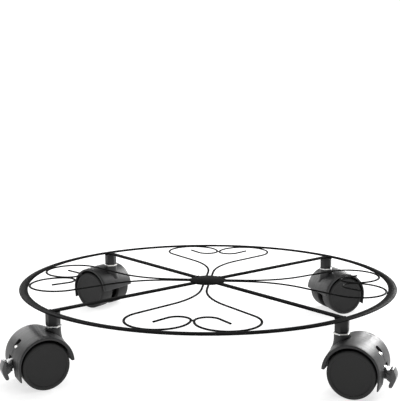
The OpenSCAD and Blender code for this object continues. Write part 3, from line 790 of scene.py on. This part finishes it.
def hood_skin():
    """The drum over both wheels: its section is spun from the front lip to the back, then drawn down."""
    crown_r = ((HOOD_W / 2) ** 2 + HOOD_CROWN ** 2) / (2 * HOOD_CROWN)
    half_span = math.asin(HOOD_W / 2 / crown_r)
    centre = Vector((0, 0, HOOD_RISE))
    bm = bmesh.new()
    first = bm.verts.new((HOOD_R - crown_r + crown_r * math.cos(half_span), -HOOD_W / 2, HOOD_RISE))
    bmesh.ops.spin(
        bm, geom=[first], cent=(HOOD_R - crown_r, 0, HOOD_RISE), axis=(0, 0, 1), dvec=(0, 0, 0),
        angle=2 * half_span, steps=CROWN_STEPS, use_duplicate=False,
    )
    crown = sorted(bm.verts, key=lambda v: v.co.y)
    inner = [bm.verts.new((HOOD_INNER_R, y, HOOD_RISE)) for y in (-HOOD_W / 2, HOOD_W / 2)]
    for pair in ((crown[0], inner[0]), (inner[0], inner[1]), (inner[1], crown[-1])):
        bm.edges.new(pair)
    round_corners(bm, [crown[0], crown[-1]], HOOD_EDGE_R)
    round_corners(bm, inner, HOOD_INNER_EDGE_R, segments=2)
    lip = math.pi - math.asin((FRONT_LIP - HOOD_RISE) / HOOD_R)
    bmesh.ops.rotate(bm, cent=centre, matrix=Matrix.Rotation(-lip, 3, "Y"), verts=bm.verts)
    made = bmesh.ops.spin(
        bm, geom=bm.verts[:] + bm.edges[:], cent=centre, axis=(0, 1, 0), dvec=(0, 0, 0),
        angle=lip + SKIRT_TILT, steps=DRUM_STEPS, use_duplicate=False,
    )
    lean_forward(bm, centre)
    draw_skirt(bm, only(EDGES, made["geom_last"]), centre)
    bmesh.ops.holes_fill(bm, edges=[e for e in bm.edges if e.is_boundary], sides=0)
    bmesh.ops.recalc_face_normals(bm, faces=bm.faces)
    caps = [f for f in bm.faces if len(f.verts) > 4]
    lip_cap, tip_cap = sorted(caps, key=lambda f: f.calc_center_median().x)
    round_edges(bm, lip_cap.edges[:], LIP_EDGE_R)
    round_edges(bm, tip_cap.edges[:], SKIRT_TIP_EDGE_R)
    return bm


def lean_forward(bm, centre):
    """Thickens the drum towards the front: its outer face moves onto a wider circle further on."""
    wall = HOOD_WALL / 2
    for vert in bm.verts:
        out = vert.co - centre
        out.y = 0
        share = min(1, max(0, (out.length - HOOD_INNER_R) / wall))
        vert.co += share * HOOD_LEAN * (out.normalized() - Vector((1, 0, 0)))


def draw_skirt(bm, end, centre):
    """Draws the drum's last section down to the skirt's tip and thins it from the inside."""
    down = Vector((-math.sin(SKIRT_TILT), 0, -math.cos(SKIRT_TILT)))
    out = Vector((math.cos(SKIRT_TILT), 0, -math.sin(SKIRT_TILT)))
    thinning = (HOOD_WALL - SKIRT_TIP_T) / SKIRT_STAGES
    for stage in range(SKIRT_STAGES):
        drawn = bmesh.ops.extrude_edge_only(bm, edges=end)
        end = only(EDGES, drawn["geom"])
        moved = only(VERTS, drawn["geom"])
        inner = [v for v in moved if (v.co - centre).dot(out) < HOOD_INNER_R + (stage + 1) * thinning]
        bmesh.ops.translate(bm, vec=down * SKIRT_L / SKIRT_STAGES, verts=moved)
        bmesh.ops.translate(bm, vec=out * thinning, verts=inner)


def web():
    """The wall between the wheels, with the boss round the axle and the ears of the lever's pin."""
    bm = bmesh.new()
    cross_disc(bm, (0, HOOD_RISE), HOOD_INNER_R + HOOD_WALL / 2, WEB_T, WEB_STEPS)
    for at, outwards in (((WEB_BACK_X, 0, 0), (1, 0, 0)), (WEB_SLANT_AT, WEB_SLANT_OUT)):
        cutting = bmesh.ops.bisect_plane(
            bm, geom=bm.verts[:] + bm.edges[:] + bm.faces[:], plane_co=at, plane_no=outwards,
            clear_outer=True,
        )
        bmesh.ops.edgenet_fill(bm, edges=only(EDGES, cutting["geom_cut"]))
    cross_disc(bm, (0, 0), AXLE_BOSS_R, WEB_T, WEB_BOSS_STEPS)
    cross_disc(bm, PIVOT, EAR_R, WEB_T, WEB_BOSS_STEPS)
    return bm


def hood_neck():
    """The upright tube that the stem turns in, bored as deep as shows and flared where it leaves the drum."""
    r = NECK_D / 2
    bore_foot = NECK_TOP - NECK_BORE_L
    bm = turned(
        [(0, NECK_FLARE[0][0])]
        + [(r + flare, height) for height, flare in NECK_FLARE]
        + [(r, NECK_TOP, NECK_EDGE_R), (NECK_BORE_R, NECK_TOP, NECK_BORE_EDGE_R), (NECK_BORE_R, bore_foot),
           (0, bore_foot)],
        NECK_STEPS,
    )
    bmesh.ops.translate(bm, vec=(-TRAIL, 0, 0), verts=bm.verts)
    return bm


def moat_cutter():
    """The shallow hollow round the neck."""
    r = NECK_D / 2 + MOAT_W
    bm = turned([(0, MOAT_Z), (r, MOAT_Z), (r, ABOVE_HOOD), (0, ABOVE_HOOD)], NECK_STEPS)
    bmesh.ops.translate(bm, vec=(-TRAIL, 0, 0), verts=bm.verts)
    bmesh.ops.recalc_face_normals(bm, faces=bm.faces)
    return bm


def exit_cutter():
    """The lever's way out, and below it the skirt's edge, which slants down to both sides."""
    side = HOOD_W / 2 + PAST_SIDE
    bottom = -SKIRT_DROP - BELOW_SKIRT
    slant_top = SKIRT_SLANT - SKIRT_DROP
    bm = plate(
        [(-EXIT_W / 2, EXIT_TOP), (-EXIT_W / 2, slant_top), (-side, -SKIRT_DROP), (-side, bottom),
         (side, bottom), (side, -SKIRT_DROP), (EXIT_W / 2, slant_top), (EXIT_W / 2, EXIT_TOP)],
        BEHIND_HOOD - EXIT_X,
    )
    place = Matrix.Translation(((EXIT_X + BEHIND_HOOD) / 2, 0, 0)) @ Matrix.Rotation(math.pi / 2, 4, "Z")
    bmesh.ops.transform(bm, matrix=place, verts=bm.verts)
    return bm


def on_drum(bm, angle):
    """Turns a cutter that stands at the back of the drum up to an angle above the axle."""
    place = Matrix.Translation((0, 0, HOOD_RISE)) @ Matrix.Rotation(-angle, 4, "Y")
    bmesh.ops.transform(bm, matrix=place, verts=bm.verts)
    return bm


def window_cutter():
    """A slot through the top back of the drum, square to its skin, with rounded corners."""
    corner = Vector((HOOD_R + PAST_DRUM, WINDOW_W / 2, WINDOW_L / 2))
    bm = box_of((HOOD_R - INTO_DRUM, -corner.y, -corner.z), corner)
    through = [e for e in bm.edges if abs(e.verts[0].co.x - e.verts[1].co.x) > MERGE_DISTANCE]
    round_edges(bm, through, WINDOW_CORNER_R)
    return on_drum(bm, WINDOW_ANGLE)


def seam_cutter():
    """The fine seam that the mould's slider leaves between the window and the lever's way out."""
    corner = Vector((HOOD_R + PAST_DRUM, SEAM_W / 2, SEAM_L / 2))
    bm = box_of((HOOD_R - SEAM_DEPTH, -corner.y, -corner.z), corner)
    return on_drum(bm, SEAM_ANGLE)


def hood_mesh():
    """One hood in its caster's own view, to be copied to all four."""
    obj = new_object("hood", mesh_from(hood_skin(), "hood"))
    cut_away(obj, [moat_cutter(), exit_cutter(), window_cutter(), seam_cutter()])
    bm = bmesh.new()
    bm.from_mesh(obj.data)
    bpy.data.objects.remove(obj)
    bmesh.ops.remove_doubles(bm, verts=bm.verts, dist=MERGE_DISTANCE)
    join_into(bm, web())
    join_into(bm, hood_neck())
    return bm


# Wheel, brake lever and leaf spring

def wheel_mesh():
    """One wheel along +Z from its inner face: bore, hub, recess, rim and closed outer disc."""
    disc_inside = WHEEL_W - DISC_T
    disc_face = WHEEL_W - DISC_SINK
    points = [
        (0, WHEEL_BORE_L), (WHEEL_BORE_R, WHEEL_BORE_L), (WHEEL_BORE_R, 0),
        (WHEEL_HUB_R, 0, WHEEL_HUB_EDGE_R), (WHEEL_HUB_R, disc_inside), (RECESS_R, disc_inside),
        (RECESS_R, 0, RIM_EDGE_R),
        (TREAD_INNER_R, 0, INNER_SHOULDER_R), (WHEEL_R, WHEEL_W / 2),
        (TREAD_OUTER_R, WHEEL_W, OUTER_SHOULDER_R), (RIM_INNER_R, WHEEL_W, RIM_EDGE_R),
        (DISC_R, disc_face, DISC_CORNER_R), (0, disc_face),
    ]
    return turned(points, WHEEL_STEPS)


def brake_lever_mesh():
    """The arm between the ears, and the bent paddle that a foot presses, narrower at its tip."""
    r = HOOD_R
    arm = plate(
        [(5.4, 9.9), (10.3, 6.1), (r - 6.5, 0.4), (r - 0.8, -3.4), (r + 1.2, -6.4), (r + 3.4, -8),
         (r + 5.4, -5), (r + 4.6, 0), (r + 0.4, 3.6), (r - 5.5, 6.4), (9.4, 14.5)],
        LEVER_W, LEVER_EDGE_R,
    )
    paddle = plate(
        [(r + 0.2, 3.4), (r + 2.4, 2.5), (r + 4.2, 2.5, 0.8), (r + 5.2, 3.9, 0.5), (r + 6.4, 3.5, 0.5),
         (r + 8.2, -0.6), (r + 8.9, -3.2, 1.2), (r + 7.9, -6.6), (r + 5.7, -11.6),
         (r + 4.9, PADDLE_TIP_Z, 0.8), (r + 2.9, PADDLE_TIP_Z, 0.7), (r + 2.6, -10.9), (r + 3.9, -6.8),
         (r + 4.2, -3.6, 1), (r + 2.4, -0.8), (r - 0.3, 0.2)],
        PADDLE_W, PADDLE_EDGE_R,
    )
    for vert in paddle.verts:
        down = max(0, (PADDLE_WAIST_Z - vert.co.z) / (PADDLE_WAIST_Z - PADDLE_TIP_Z))
        vert.co.y *= 1 + min(1, down) * (PADDLE_TIP_W / PADDLE_W - 1)
    join_into(arm, paddle)
    cross_disc(arm, PIVOT, EAR_R, LEVER_W, LEVER_BOSS_STEPS)
    cross_disc(arm, SHOE, SHOE_BOSS_R, LEVER_W, LEVER_BOSS_STEPS)
    return arm


def on_window(out, up):
    """A place in the side view, by its distance out from the drum's axis and up along the window."""
    c, s = math.cos(WINDOW_ANGLE), math.sin(WINDOW_ANGLE)
    return Vector((out * c - up * s, HOOD_RISE + out * s + up * c))


def strip_outline(points, thickness):
    """Both sides of a bent strip about its middle line, mitred at the bends."""
    ways = [(after - before).normalized() for before, after in zip(points, points[1:])]
    outline = []
    for side in (1, -1):
        run = []
        for i, point in enumerate(points):
            before, after = ways[max(i - 1, 0)], ways[min(i, len(ways) - 1)]
            square = (before + after).orthogonal() / (1 + before.dot(after))
            run.append(point + square * side * thickness / 2)
        outline += run[::side]
    return [tuple(point) for point in outline]


def leaf_spring_mesh():
    """The steel leaf on the web's end, bowed out over the lever's arm to the window's low end."""
    bend = Vector(LEAF_BEND)
    bow = [bend] + [on_window(out, up) for out, up in LEAF_BOW]
    path = [bend + Vector((0, LEAF_END_L))]
    # A Bezier curve over the bow's four points
    for i in range(BOW_STEPS + 1):
        t = i / BOW_STEPS
        weights = ((1 - t) ** 3, 3 * t * (1 - t) ** 2, 3 * t * t * (1 - t), t ** 3)
        path.append(sum((w * q for w, q in zip(weights, bow)), Vector((0, 0))))
    return plate(strip_outline(path, LEAF_T), LEAF_W)


# The whole stand

def place_of(corner):
    """Where a caster stands: the stem's axis, and the matrix from its side view to the object."""
    joints = {j["name"]: j for j in frame["joints"]}
    stem_at = Vector(joints["swivel_" + corner]["pos_m"]) / MM
    axle_at = Vector(joints["left_spin_" + corner]["pos_m"]) / MM
    heading = math.atan2(axle_at.y - stem_at.y, axle_at.x - stem_at.x)
    return stem_at, Matrix.Translation(axle_at) @ Matrix.Rotation(heading, 4, "Z")


def sweep_names(quarter):
    """The two scrolls of a quarter, by the side they curl to, the plain one first."""
    after = SCROLLS[(quarter + 1) % 4]
    before = SCROLLS[(quarter - 1) % 4]
    return SCROLLS[quarter] + "_" + after, SCROLLS[quarter] + "_" + before


def add_caster(corner, place, hood, wheel, lever, leaf):
    """One caster's pieces, as copies of the four meshes."""
    caster = "caster_" + corner
    add_piece(hood.copy(), "moulded_hood_" + corner, "hood_plastic", caster, ["hood_" + corner], place)
    for side, turn in (("left", -90), ("right", 90)):
        outwards = Matrix.Rotation(math.radians(turn), 4, "X") @ Matrix.Translation((0, 0, WHEEL_GAP))
        body = side + "_wheel_" + corner
        add_piece(wheel.copy(), "moulded_" + body, "wheel_plastic", body, [body], place @ outwards)
    body = "brake_lever_" + corner
    add_piece(lever.copy(), "moulded_" + body, "lever_plastic", body, [body], place)
    add_piece(leaf.copy(), "steel_leaf_" + corner, "zinc_steel", caster, ["leaf_spring_" + corner], place)


ring()
hub()
for quarter in range(4):
    turn = quarter * math.pi / 2
    plain, mirrored = sweep_names(quarter)
    scroll_wire(plain, turn, False)
    scroll_wire(mirrored, turn, True)
    scroll_welds(SCROLLS[quarter], turn)

caster_meshes = (hood_mesh(), wheel_mesh(), brake_lever_mesh(), leaf_spring_mesh())
for corner in CORNERS:
    stem_at, place = place_of(corner)
    turn = math.atan2(stem_at.y, stem_at.x)
    spoke(corner, turn)
    corner_welds(corner, turn, stem_at.xy.length)
    stem_pieces(corner, stem_at)
    add_caster(corner, place, *caster_meshes)
for bm in caster_meshes:
    bm.free()

# The nodes that stay as they are take the finish of their slot
for subpart in frame["record"]["subparts"]:
    node = frame["nodes"][subpart["node"]]
    node.data.materials.clear()
    node.data.materials.append(FINISHES[subpart["material_slot"]])


# Studio

def studio_floor():
    """The paper that the stand is on."""
    bm = bmesh.new()
    bmesh.ops.create_grid(bm, x_segments=1, y_segments=1, size=FLOOR_HALF_SIZE)
    floor = new_object("studio_floor", mesh_from(bm, "studio_floor"))
    floor.data.materials.append(matt_studio_paper())


def studio_walls():
    """White walls up to a little over the horizon, dim above them, and a skylight overhead."""
    world = bpy.data.worlds.new("studio")
    world.use_nodes = True
    tree = world.node_tree
    towards = add_node(tree, "ShaderNodeTexCoord", "Generated")
    height = add_node(tree, "ShaderNodeSeparateXYZ", "Z", {"Vector": towards})
    stops = [(place, level(brightness)) for place, brightness in WALL_LEVELS]
    walls = add_node(tree, RAMP, "Color", {"Fac": height}, stops=stops)
    set_inputs(tree, tree.nodes["Background"], {"Color": walls}, Strength=WALL_STRENGTH)
    bpy.context.scene.world = world


def soft_light(name, at, towards, size, brightness):
    """A rectangular area light in metres, turned to a point, by its face's brightness against white."""
    data = bpy.data.lights.new(name, "AREA")
    data.shape = "RECTANGLE"
    data.size, data.size_y = size
    data.energy = brightness * math.pi * size[0] * size[1]
    light = new_object(name, data)
    light.location = at
    light.rotation_euler = (Vector(towards) - Vector(at)).to_track_quat("-Z", "Y").to_euler()
    light.visible_camera = False


def photo_camera():
    """The camera at the photograph's angle."""
    data = bpy.data.cameras.new("photo_camera")
    data.sensor_fit = "HORIZONTAL"
    data.sensor_width = SENSOR_W
    data.lens = SENSOR_W * FOCAL_PX / PHOTO_W
    data.clip_start = CAMERA_NEAR_M
    aim = (
        Matrix.Rotation(CAMERA_PAN, 4, "Z")
        @ Matrix.Rotation(math.pi / 2 - CAMERA_TILT, 4, "X")
        @ Matrix.Rotation(CAMERA_ROLL, 4, "Z")
    )
    camera = new_object("photo_camera", data)
    camera.matrix_world = Matrix.Translation(CAMERA_AT) @ aim
    bpy.context.scene.camera = camera


studio_floor()
studio_walls()
soft_light("back_right_panel", (0.76, 1.27, 0.61), FRONT_RIGHT_CASTER, size=(0.7, 0.42), brightness=29)
soft_light("back_left_strip", (-0.66, 1.26, 0.65), FRONT_LEFT_CASTER, size=(0.24, 0.28), brightness=12)
soft_light("left_panel", (-1.06, 1.10, 0.46), FRONT_LEFT_CASTER, size=(0.74, 0.5), brightness=4.8)
photo_camera()
bpy.context.scene.view_settings.view_transform = "Standard"
